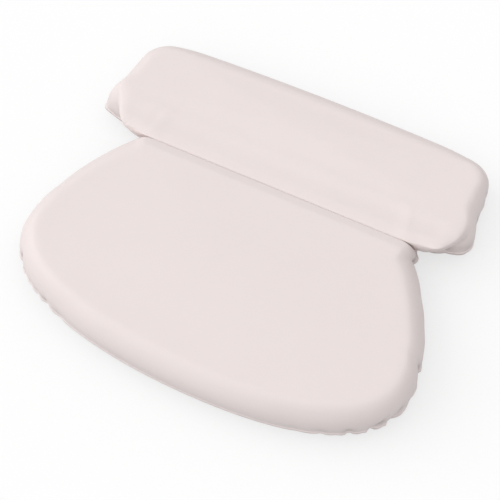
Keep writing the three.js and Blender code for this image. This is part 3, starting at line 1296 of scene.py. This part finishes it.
@dataclass
class FrontCover:
    """The one-piece cover over both panels, welded down in the valley between them and round its hem."""

    name: str = "front_cover"
    wall_rings: int = 17
    crease_rings: tuple[float, ...] = (-0.0004, 0.0004)
    hem_rings: tuple[tuple[float, float], ...] = ((0.0, 0.8), (0.0004, 0.9))
    crown_rings: tuple[tuple[float, int], ...] = (
        (0.95, 1),
        (0.88, 1),
        (0.78, 2),
        (0.66, 2),
        (0.52, 4),
        (0.36, 4),
        (0.18, 4),
    )
    round_levels: int = 1
    thickness: float = 0.001
    fill: float = 0.9
    free_share: float = 0.65
    fold_half: float = 0.0022
    slack_half: float = 0.010
    shade_half: float = 0.0050
    shade_height: float = 0.007
    shade_spread: float = 0.005
    settling: ClothSettling = ClothSettling()

    def _panel(self, draft: MeshDraft, panel: Panel) -> np.ndarray:
        """Adds a panel's hem, wall, shoulder and crown.

        Args:
            draft: the mesh in the making.
            panel: the panel to cover.

        Returns:
            Numbers of the points round the edge of the hem.
        """
        numbers = []
        for inset, share in self.hem_rings:
            numbers.append(draft.add(panel.ring(inset, panel.hem_top, share * HINGE.touch_half)))
        in_valley = across_band(panel.hem.past_end, panel.valley_fade)
        section = panel.section(0.0, self.wall_rings)
        heights = np.sort(np.append(section[:, 1], HINGE.crease_height + np.array(self.crease_rings)))
        insets = np.interp(heights, section[:, 1], section[:, 0])
        for inset, z in zip(insets, heights):
            climb = np.interp(z, section[:, 1], np.linspace(0.0, 1.0, self.wall_rings))
            firm = 1.0 if climb == 0.0 else max(0.0, (climb - self.free_share) / (1.0 - self.free_share))
            height = z - panel.hem_top
            folded = panel.nearness(height, self.fold_half)
            slack = panel.nearness(height, self.slack_half)
            # painted shade: how much the cover's colour is darkened near the deep gathers, strongest just
            # above the hem
            dimmed = falloff(height - self.shade_height, self.shade_spread)
            shade = panel.nearness(height, self.shade_half) * dimmed
            ring = panel.ring(inset, z, panel.valley_gap(z))
            held = np.maximum(np.maximum(firm, in_valley), folded)
            numbers.append(draft.add(ring, held, slack, shade))
        close_panel(draft, panel, numbers, ring, self.crown_rings, cover=0.0)
        return numbers[0]

    def build(self) -> bpy.types.Object:
        """Makes the cover, with its thickness.

        Returns:
            The cover's object.
        """
        draft = MeshDraft()
        lower = self._panel(draft, LOWER)[LOWER.valley_columns]
        lower_count = draft.count
        upper = self._panel(draft, UPPER)[UPPER.valley_columns]
        upper_count = draft.count - lower_count
        middle = join_valley(draft, lower, upper, HINGE.groove, flip=True)
        sides = np.repeat([-1.0, 1.0, 0.0], [lower_count, upper_count, len(middle)])
        piece = draft.object(self.name)
        self.settling.run(piece, np.concatenate(draft.held), np.concatenate(draft.slack))
        marks = piece.data.attributes.new(PANEL_SIDE, "FLOAT", "POINT")
        marks.data.foreach_set("value", sides)
        rounding = piece.modifiers.new("round", "SUBSURF")
        rounding.levels = rounding.render_levels = self.round_levels
        keep_apart(freeze(piece))
        SLUMP.press(thicken(piece, self.thickness))
        return piece

    def dress(self, piece: bpy.types.Object) -> None:
        """Finishes the cover and fits it to the frame.

        Args:
            piece: the cover's object.
        """
        smooth(piece)
        dress(piece, COATED_FABRIC.material())
        bend_with_fold(piece)
        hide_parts(LOWER.skin_node, UPPER.skin_node, "hinge_web")


@dataclass
class BackSheet:
    """The backing, cut to the hem in one piece, with a hole for each eyelet."""

    name: str = "back_sheet"
    lower_node: str = "lower_back_sheet"
    upper_node: str = "upper_back_sheet"
    area: float = 0.0
    border: tuple[tuple[float, float], ...] = (
        (0.0, 0.0),
        (0.0020, 0.0),
        (0.0030, 0.00025),
        (0.0042, 0.00025),
        (0.0052, 0.0),
    )
    hole_radius: float = 0.0063
    hole_rings: tuple[tuple[float, float], ...] = ((0.0115, 0.0), (0.0160, -0.0003), (0.0210, 0.0))
    hole_points: int = 32
    spacing: float = 0.008
    border_clear: float = 0.6
    hole_clear: float = 0.5
    crisp_angle: float = math.radians(40.0)

    def _fill(self, draft: MeshDraft, edge: np.ndarray, stations: list[Vector], z: float) -> None:
        """Fills the sheet inside its welded border, with a hole at each station.

        Args:
            draft: the mesh in the making.
            edge: numbers of the border's inner points.
            stations: middles of the holes.
            z: height of the sheet's underside.
        """
        outline = np.vstack(draft.points)[edge]
        angles = np.arange(self.hole_points) / self.hole_points * 2.0 * math.pi
        circle = np.column_stack([np.cos(angles), np.sin(angles), np.zeros(self.hole_points)])
        points, edges = [outline], [(i, (i + 1) % len(edge)) for i in range(len(edge))]
        for station in stations:
            middle = np.array([station.x, station.y, z])
            start = sum(len(block) for block in points)
            points.append(middle + circle * self.hole_radius)
            edges += [(start + i, start + (i + 1) % self.hole_points) for i in range(self.hole_points)]
            points += [middle + circle * radius + (0.0, 0.0, rise) for radius, rise in self.hole_rings]
        points.append(self._grid(outline, stations, z))
        cloud = np.vstack(points)
        flat = [Vector(point[:2]) for point in cloud]
        _, _, faces, sources, *_ = delaunay_2d_cdt(flat, edges, [], 1, SAME_PLACE)
        origin = [source[0] for source in sources]
        added = draft.add(cloud[len(edge):])
        numbers = np.concatenate([edge, added])
        for corners in faces:
            middle = np.mean([cloud[origin[corner]] for corner in corners], axis=0)
            if all(math.hypot(middle[0] - s.x, middle[1] - s.y) > self.hole_radius for s in stations):
                draft.face([numbers[origin[corner]] for corner in corners], flip=True)

    def _grid(self, outline: np.ndarray, stations: list[Vector], z: float) -> np.ndarray:
        """Points spread over the sheet, clear of its border and holes.

        Args:
            outline: the border's inner points.
            stations: middles of the holes.
            z: height of the sheet's underside.

        Returns:
            The points, one a row.
        """
        low, high = outline.min(axis=0), outline.max(axis=0)
        across = np.arange(low[0], high[0], self.spacing)
        along = np.arange(low[1], high[1], self.spacing)
        grid = np.stack(np.meshgrid(across, along), axis=-1).reshape(-1, 2)
        start, end = outline[:, :2], np.roll(outline[:, :2], -1, axis=0)
        rising = (start[None, :, 1] > grid[:, None, 1]) != (end[None, :, 1] > grid[:, None, 1])
        slope = (end[:, 0] - start[:, 0]) / np.where(end[:, 1] == start[:, 1], 1.0, end[:, 1] - start[:, 1])
        crossing = start[None, :, 0] + (grid[:, None, 1] - start[None, :, 1]) * slope[None, :]
        inside = (rising & (grid[:, None, 0] < crossing)).sum(axis=1) % 2 == 1
        margin = np.linalg.norm(grid[:, None, :] - start[None, :, :], axis=2).min(axis=1)
        inside &= margin > self.spacing * self.border_clear
        reach = self.hole_rings[-1][0] + self.spacing * self.hole_clear
        for station in stations:
            inside &= np.hypot(grid[:, 0] - station.x, grid[:, 1] - station.y) > reach
        return np.column_stack([grid[inside], np.full(inside.sum(), z)])

    def _panel(self, draft: MeshDraft, panel: Panel, node: str, stations: list[Vector]) -> np.ndarray:
        """Adds one panel's part of the sheet.

        Args:
            draft: the mesh in the making.
            panel: the panel that it backs.
            node: the frame's sheet there.
            stations: middles of the eyelets.

        Returns:
            Numbers of the points round the edge.
        """
        flip = panel.body is Body.LOWER
        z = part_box(node)[0].z
        numbers = []
        for inset, press in self.border:
            across = inset / self.border[-1][0]
            gap = HINGE.weld_half + (HINGE.foot_half - HINGE.weld_half) * across
            ring = panel.ring(inset, panel.foot, gap)
            ring[:, 2] = z + press
            numbers.append(draft.add(ring))
        for outer, inner in zip(numbers, numbers[1:]):
            draft.strip(outer, inner, closed=True, flip=flip)
        self._fill(draft, numbers[-1], stations, z)
        return numbers[0]

    def build(self, stations: dict[Body, list[Vector]]) -> bpy.types.Object:
        """Makes the sheet, with its thickness.

        Args:
            stations: middles of the eyelets on each panel.

        Returns:
            The sheet's object.
        """
        draft = MeshDraft()
        lower = self._panel(draft, LOWER, self.lower_node, stations[Body.LOWER])[LOWER.valley_columns]
        upper = self._panel(draft, UPPER, self.upper_node, stations[Body.UPPER])[UPPER.valley_columns]
        join_valley(draft, lower, upper, groove=0.0, flip=False)
        piece = draft.object(self.name)
        self.area = sum(face.area for face in piece.data.polygons)
        low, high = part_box(self.lower_node)
        return thicken(piece, high.z - low.z)

    def dress(self, piece: bpy.types.Object, cover: bpy.types.Object) -> None:
        """Finishes the sheet and fits it to the frame.

        Args:
            piece: the sheet's object.
            cover: the cover that it lies under; not used.
        """
        smooth(piece, self.crisp_angle)
        dress(piece, BACKING_FABRIC.material())
        bend_with_fold(piece)
        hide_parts(self.lower_node, self.upper_node)


@dataclass
class FoamCore:
    """The foam block of one panel, with a pocket over each cup."""

    panel: Panel
    node: str
    rings: int = 19
    cover: float = 0.0013
    eased: float = 0.004
    ease_rise: float = 0.020
    crown_rings: tuple[tuple[float, int], ...] = ((0.8, 2), (0.5, 4), (0.2, 4))
    pocket_radius: float = 0.0103
    pocket_top: float = 0.022
    pocket_points: int = 32
    crisp_angle: float = math.radians(50.0)
    fill: float = 1.0

    def build(self, stations: list[Vector]) -> bpy.types.Object:
        """Makes the block and cuts its pockets.

        Args:
            stations: middles of the panel's cups.

        Returns:
            The foam's object.
        """
        panel = self.panel
        draft = MeshDraft()
        rings = []
        for inset, z in panel.section(self.cover, self.rings):
            ease = self.eased * max(0.0, 1.0 - (z - panel.hem_top) / self.ease_rise)
            gap = max(HINGE.gap / 2.0 + inset + ease, panel.valley_gap(z + self.cover) + self.cover)
            rings.append(panel.ring(inset + ease, z, gap))
        under = rings[0].copy()
        under[:, 2] = panel.foot
        numbers = [draft.add(ring) for ring in (under, *rings)]
        close_panel(draft, panel, numbers, rings[-1], self.crown_rings, self.cover)
        draft.face(list(numbers[0]), flip=panel.body is Body.LOWER)
        piece = draft.object(f"{panel.body.value}_foam")
        cutter = self._pockets(stations)
        cut = piece.modifiers.new("pockets", "BOOLEAN")
        cut.object = cutter
        SLUMP.press(freeze(piece))
        bpy.data.objects.remove(cutter)
        return piece

    def _pockets(self, stations: list[Vector]) -> bpy.types.Object:
        """Makes the pins that cut the pockets.

        Args:
            stations: middles of the panel's cups.

        Returns:
            The pins, as one object.
        """
        pins = bmesh.new()
        depth = self.pocket_top - self.panel.foot
        for station in stations:
            made = bmesh.ops.create_cone(
                pins,
                cap_ends=True,
                segments=self.pocket_points,
                radius1=self.pocket_radius,
                radius2=self.pocket_radius,
                depth=2.0 * depth,
            )
            bmesh.ops.translate(pins, verts=made["verts"], vec=(station.x, station.y, self.panel.foot))
        mesh = bpy.data.meshes.new("pocket_pins")
        pins.to_mesh(mesh)
        pins.free()
        return placed("pocket_pins", mesh)

    def dress(self, piece: bpy.types.Object, material: bpy.types.Material) -> None:
        """Finishes the foam and fits it to its panel.

        Args:
            piece: the foam's object.
            material: its finish.
        """
        smooth(piece, self.crisp_angle)
        dress(piece, material)
        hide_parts(self.node)
        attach(piece, self.panel.body.value)


class Lathe:
    """A node tree that turns a profile of radius and height about an upright axis at a station."""

    TURN_STEPS = 72
    MERGE = 1e-6
    CRISP_ANGLE = math.radians(35.0)

    def __init__(self) -> None:
        """Builds the tree."""
        self.tree = bpy.data.node_groups.new("lathe", "GeometryNodeTree")
        face = self.tree.interface
        face.new_socket("Profile", in_out="INPUT", socket_type="NodeSocketGeometry")
        face.new_socket("Profile Points", in_out="INPUT", socket_type="NodeSocketInt")
        face.new_socket("Turn Steps", in_out="INPUT", socket_type="NodeSocketInt")
        face.new_socket("Station", in_out="INPUT", socket_type="NodeSocketVector")
        face.new_socket("Finish", in_out="INPUT", socket_type="NodeSocketMaterial")
        face.new_socket("Turned", in_out="OUTPUT", socket_type="NodeSocketGeometry")
        self._build(NodeBoard(self.tree))

    def _build(self, board: NodeBoard) -> None:
        """Lays a grid of profile points by turn steps and rolls it round the axis.

        Args:
            board: the tree's nodes.
        """
        given = board.add("NodeGroupInput").outputs
        grid = board.add("GeometryNodeMeshGrid", {"Size X": 1.0, "Size Y": 1.0})
        board.link(given["Profile Points"], grid.inputs["Vertices X"])
        board.link(board.math("ADD", given["Turn Steps"], 1.0), grid.inputs["Vertices Y"])
        place = board.add("ShaderNodeSeparateXYZ")
        board.link(board.add("GeometryNodeInputPosition").outputs[0], place.inputs[0])
        along = board.math("ADD", place.outputs["X"], 0.5)
        around = board.math("MULTIPLY", board.math("ADD", place.outputs["Y"], 0.5), 2.0 * math.pi)
        last = board.math("SUBTRACT", given["Profile Points"], 1.0)
        sample = board.add("GeometryNodeSampleIndex", data_type="FLOAT_VECTOR", domain="POINT")
        board.link(given["Profile"], sample.inputs["Geometry"])
        board.link(board.add("GeometryNodeInputPosition").outputs[0], sample.inputs["Value"])
        board.link(board.math("ROUND", board.math("MULTIPLY", along, last)), sample.inputs["Index"])
        profile = board.add("ShaderNodeSeparateXYZ")
        board.link(sample.outputs[0], profile.inputs[0])
        turned = board.add("ShaderNodeCombineXYZ")
        radius = profile.outputs["X"]
        board.link(board.math("MULTIPLY", radius, board.math("COSINE", around)), turned.inputs["X"])
        board.link(board.math("MULTIPLY", radius, board.math("SINE", around)), turned.inputs["Y"])
        board.link(profile.outputs["Z"], turned.inputs["Z"])
        moved = board.add("ShaderNodeVectorMath", operation="ADD")
        board.link(turned.outputs[0], moved.inputs[0])
        board.link(given["Station"], moved.inputs[1])
        rolled = board.add("GeometryNodeSetPosition")
        board.link(grid.outputs["Mesh"], rolled.inputs["Geometry"])
        board.link(moved.outputs[0], rolled.inputs["Position"])
        closed = board.add("GeometryNodeMergeByDistance", {"Distance": self.MERGE})
        board.link(rolled.outputs[0], closed.inputs["Geometry"])
        real = board.add("GeometryNodeRealizeInstances")
        board.link(closed.outputs[0], real.inputs[0])
        finished = board.add("GeometryNodeSetMaterial")
        board.link(real.outputs[0], finished.inputs["Geometry"])
        board.link(given["Finish"], finished.inputs["Material"])
        board.link(finished.outputs[0], board.add("NodeGroupOutput").inputs["Turned"])

    def turn(
        self, name: str, profile: np.ndarray, station: Vector, material: bpy.types.Material
    ) -> bpy.types.Object:
        """Turns one piece.

        Args:
            name: name of the piece.
            profile: rows of radius and height, with the solid on the left of their way.
            station: the axis, as a point in plan.
            material: the piece's finish.

        Returns:
            The turned piece, as a plain mesh.
        """
        mesh = bpy.data.meshes.new(name)
        line = [(radius, 0.0, height) for radius, height in profile]
        mesh.from_pydata(line, [(i, i + 1) for i in range(len(line) - 1)], [])
        piece = placed(name, mesh)
        modifier = piece.modifiers.new("lathe", "NODES")
        modifier.node_group = self.tree
        values = {
            "Profile Points": len(line),
            "Turn Steps": self.TURN_STEPS,
            "Station": (station.x, station.y, 0.0),
            "Finish": material,
        }
        for socket in self.tree.interface.items_tree:
            if socket.name in values:
                modifier[socket.identifier] = values[socket.name]
        smooth(freeze(piece), self.CRISP_ANGLE)
        return piece


def rounded(points: Sequence[Sequence[float]], radius: float) -> np.ndarray:
    """A profile with its corners rounded.

    Args:
        points: the corners of the profile.
        radius: how far along each edge a rounding reaches, at most.

    Returns:
        The rounded profile's points.
    """
    line = [np.asarray(points[0], float)[None, :]]
    for before, corner, after in zip(points, points[1:], points[2:]):
        ends = []
        for other in (before, after):
            reach = min(radius, CORNER_SHARE * np.linalg.norm(np.subtract(corner, other)))
            ends.append(toward(corner, other, reach))
        line.append(bezier(ends[0], corner, ends[1], steps=CORNER_STEPS))
    line.append(np.asarray(points[-1], float)[None, :])
    return np.vstack(line)


@dataclass
class SuctionCup:
    """A clear cup: thin-lipped bell, neck through its eyelet, and mushroom head above it."""

    place: str
    diameter: float = 0.046
    shoulder_height: float = 0.012
    roof: float = 0.0035
    lip: float = 0.0015
    lip_height: float = 0.0008
    flare_reach: float = 0.006
    flare_rise: float = 0.007
    shoulder: float = 0.004
    neck_diameter: float = 0.0068
    head_radius: float = 0.0064
    head_height: float = 0.0045
    edge: float = 0.0006
    bell_points: int = 18
    flare_points: int = 14
    head_points: int = 12

    @property
    def node(self) -> str:
        """The frame's cup."""
        return f"suction_cup_{self.place}"

    def profile(self) -> np.ndarray:
        """The cup's half section.

        Returns:
            Rows of radius and height, from the middle of its bell to the top of its head.
        """
        lip_radius = self.diameter / 2.0
        neck = self.neck_diameter / 2.0
        inside = self.shoulder_height - self.roof
        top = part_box(self.node)[1].z
        under_head = top - self.head_height
        lip_land = (lip_radius - self.lip, 0.0)
        bell = bezier((0.0, inside), (lip_radius - 2.0 * self.flare_reach, inside), lip_land)
        flare = bezier(
            (lip_radius, self.lip_height),
            (lip_radius - self.flare_reach, self.flare_rise),
            (neck + self.shoulder, self.shoulder_height),
        )
        head = bezier((self.head_radius, under_head), (self.head_radius, top), (0.0, top))
        neck_line = [flare[-1], (neck, self.shoulder_height), (neck, under_head), head[0]]
        stem = rounded(neck_line, self.edge)
        lip = rounded([bell[-1], (lip_radius, 0.0), flare[0]], self.edge)
        return np.vstack(
            [
                respaced(bell, self.bell_points),
                lip[1:-1],
                respaced(flare, self.flare_points),
                stem[1:-1],
                respaced(head, self.head_points),
            ]
        )

    def build(self, lathe: Lathe, material: bpy.types.Material) -> bpy.types.Object:
        """Turns the cup and fits it to its body.

        Args:
            lathe: the tree that turns it.
            material: its finish.

        Returns:
            The cup's object.
        """
        piece = lathe.turn(f"cup_{self.place}", self.profile(), middle_of(self.node), material)
        dress(piece, material)
        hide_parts(self.node)
        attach(piece, f"cup_{self.place}")
        return piece


@dataclass
class Eyelet:
    """A two-flanged ring that holds a cup's neck in the backing."""

    place: str
    body: Body
    bore_radius: float = 0.004
    barrel_radius: float = 0.006
    flange_radius: float = 0.010
    flange: float = 0.0014
    edge: float = 0.0005

    @property
    def node(self) -> str:
        """The frame's eyelet."""
        return EYELET_PREFIX + self.place

    def profile(self) -> np.ndarray:
        """The eyelet's section.

        Returns:
            Rows of radius and height, closed on themselves.
        """
        low, high = (corner.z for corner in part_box(self.node))
        start = ((self.bore_radius + self.flange_radius) / 2.0, low)
        return rounded(
            [
                start,
                (self.flange_radius, low),
                (self.flange_radius, low + self.flange),
                (self.barrel_radius, low + self.flange),
                (self.barrel_radius, high - self.flange),
                (self.flange_radius, high - self.flange),
                (self.flange_radius, high),
                (self.bore_radius, high),
                (self.bore_radius, low),
                start,
            ],
            self.edge,
        )

    def build(self, lathe: Lathe, material: bpy.types.Material) -> bpy.types.Object:
        """Turns the eyelet and fits it to its panel.

        Args:
            lathe: the tree that turns it.
            material: its finish.

        Returns:
            The eyelet's object.
        """
        piece = lathe.turn(f"eyelet_ring_{self.place}", self.profile(), middle_of(self.node), material)
        dress(piece, material)
        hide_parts(self.node)
        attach(piece, self.body.value)
        return piece


def middle_of(node: str) -> Vector:
    """The middle of a CAD node's box."""
    low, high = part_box(node)
    return (low + high) / 2.0


@dataclass(frozen=True)
class Lamp:
    """A large soft lamp: its strength, the way to it and how wide it is seen."""

    name: str
    strength: float
    way: tuple[float, float, float]
    spread: float = math.radians(60.0)

    def hang(self) -> None:
        """Adds the lamp to the scene."""
        data = bpy.data.lights.new(self.name, "SUN")
        data.energy = self.strength
        data.angle = self.spread
        placed(self.name, data).rotation_euler = Vector(self.way).to_track_quat("Z", "Y").to_euler()


@dataclass(frozen=True)
class Studio:
    """A white floor under soft light, and the camera."""

    floor_half: float = 6.0
    floor_bounce: float = 0.40
    floor_fill: float = 0.4
    floor_glow: float = 0.6
    sky_strength: float = 0.70
    lamps: tuple[Lamp, ...] = (
        Lamp("side_lamp", 1.10, (-0.840, -0.212, 0.5)),
        Lamp("front_lamp", 0.40, (0.0, -0.5, 0.866)),
    )
    azimuth: float = math.radians(25.276)
    elevation: float = math.radians(63.788)
    target: tuple[float, float, float] = (0.008818, -0.021889, 0.0355)
    distance: float = 0.8696
    lens: float = 70.51
    sensor: float = 36.0

    def floor(self) -> None:
        """Lays the floor: white where it is seen, duller in what it throws back, and clear from below."""
        half = self.floor_half
        corners = [(-half, -half, 0.0), (half, -half, 0.0), (half, half, 0.0), (-half, half, 0.0)]
        mesh = bpy.data.meshes.new("floor")
        mesh.from_pydata(corners, [], [(0, 1, 2, 3)])
        material = bpy.data.materials.new("white_floor")
        material.use_nodes = True
        board = NodeBoard(material.node_tree)
        dull = (self.floor_bounce, self.floor_bounce, self.floor_bounce, 1.0)
        thrown = board.add("ShaderNodeBsdfDiffuse", {"Color": dull})
        fill = board.add("ShaderNodeEmission", {"Strength": self.floor_bounce})
        bounce = board.mix(self.floor_fill, thrown.outputs[0], fill.outputs[0])
        white = board.add("ShaderNodeBsdfDiffuse", {"Color": WHITE})
        glow = board.add("ShaderNodeEmission", {"Strength": 1.0})
        shown = board.mix(self.floor_glow, white.outputs[0], glow.outputs[0])
        floor_face = board.mix(self._seen(board), bounce, shown)
        under = board.add("ShaderNodeNewGeometry").outputs["Backfacing"]
        either = board.mix(under, floor_face, board.add("ShaderNodeBsdfTransparent").outputs[0])
        board.link(either, board.add("ShaderNodeOutputMaterial").inputs["Surface"])
        mesh.materials.append(material)
        placed("floor", mesh)

    def _seen(self, board: NodeBoard) -> bpy.types.NodeSocket:
        """Whether a ray comes from the camera, straight or by gloss or glass.

        Args:
            board: the nodes to add to.

        Returns:
            1 for such a ray, else 0.
        """
        rays = board.add("ShaderNodeLightPath").outputs
        seen = board.math("MAXIMUM", rays["Is Camera Ray"], rays["Is Glossy Ray"])
        return board.math("MAXIMUM", seen, rays["Is Transmission Ray"])

    def sky(self) -> None:
        """Lights the scene evenly, and shows white to the camera, mirrors and glass."""
        world = bpy.data.worlds.new("studio")
        bpy.context.scene.world = world
        world.use_nodes = True
        board = NodeBoard(world.node_tree)
        light = board.add("ShaderNodeBackground", {"Color": WHITE, "Strength": self.sky_strength})
        white = board.add("ShaderNodeBackground", {"Color": WHITE, "Strength": 1.0})
        either = board.mix(self._seen(board), light.outputs[0], white.outputs[0])
        board.link(either, board.add("ShaderNodeOutputWorld").inputs["Surface"])

    def camera(self) -> None:
        """Sets the camera at the photograph's viewing angle."""
        level = math.cos(self.elevation)
        back = Vector(
            (math.sin(self.azimuth) * level, -math.cos(self.azimuth) * level, math.sin(self.elevation))
        )
        data = bpy.data.cameras.new("camera")
        data.lens = self.lens
        data.sensor_width = self.sensor
        camera = placed("camera", data)
        camera.location = Vector(self.target) + back * self.distance
        camera.rotation_euler = back.to_track_quat("Z", "Y").to_euler()
        bpy.context.scene.camera = camera

    def build(self) -> None:
        """Sets the whole stage."""
        bpy.context.scene.view_settings.view_transform = "Standard"
        self.floor()
        self.sky()
        for lamp in self.lamps:
            lamp.hang()
        self.camera()


def eyelet_places() -> dict[str, Body]:
    """Finds the eyelets in the record.

    Returns:
        The panel that carries each eyelet, by the eyelet's place.
    """
    bodies = frame["record"]["behaviour"]["bodies"]
    return {
        node.removeprefix(EYELET_PREFIX): body
        for body in Body
        for node in bodies[body.value]
        if node.startswith(EYELET_PREFIX)
    }


def report(piece: bpy.types.Object) -> None:
    """Logs a finished piece and its size."""
    size = np.ptp(points_of(piece.data), axis=0) * MILLIMETRES
    LOG.info("%s: %d faces, %s mm", piece.name, len(piece.data.polygons), size.round(1))


def main() -> None:
    """Builds the stage and every piece of the pillow."""
    logging.basicConfig(level=logging.INFO, format="%(name)s: %(message)s")
    Studio().build()
    places = eyelet_places()
    stations: dict[Body, list[Vector]] = {body: [] for body in Body}
    for place, body in places.items():
        stations[body].append(middle_of(EYELET_PREFIX + place))
    cover = FrontCover()
    cover_piece = cover.build()
    cover.dress(cover_piece)
    report(cover_piece)
    sheet = BackSheet()
    sheet_piece = sheet.build(stations)
    sheet.dress(sheet_piece, cover_piece)
    report(sheet_piece)
    foam_material = OPEN_CELL_FOAM.material()
    for panel, node in ((LOWER, "lower_foam_core"), (UPPER, "upper_foam_core")):
        foam = FoamCore(panel, node)
        foam_piece = foam.build(stations[panel.body])
        foam.dress(foam_piece, foam_material)
        report(foam_piece)
    lathe = Lathe()
    vinyl, plastic = CLEAR_VINYL.material(), SATIN_PLASTIC.material()
    for place, body in places.items():
        report(SuctionCup(place).build(lathe, vinyl))
        report(Eyelet(place, body).build(lathe, plastic))


if __name__ == "__main__":
    main()
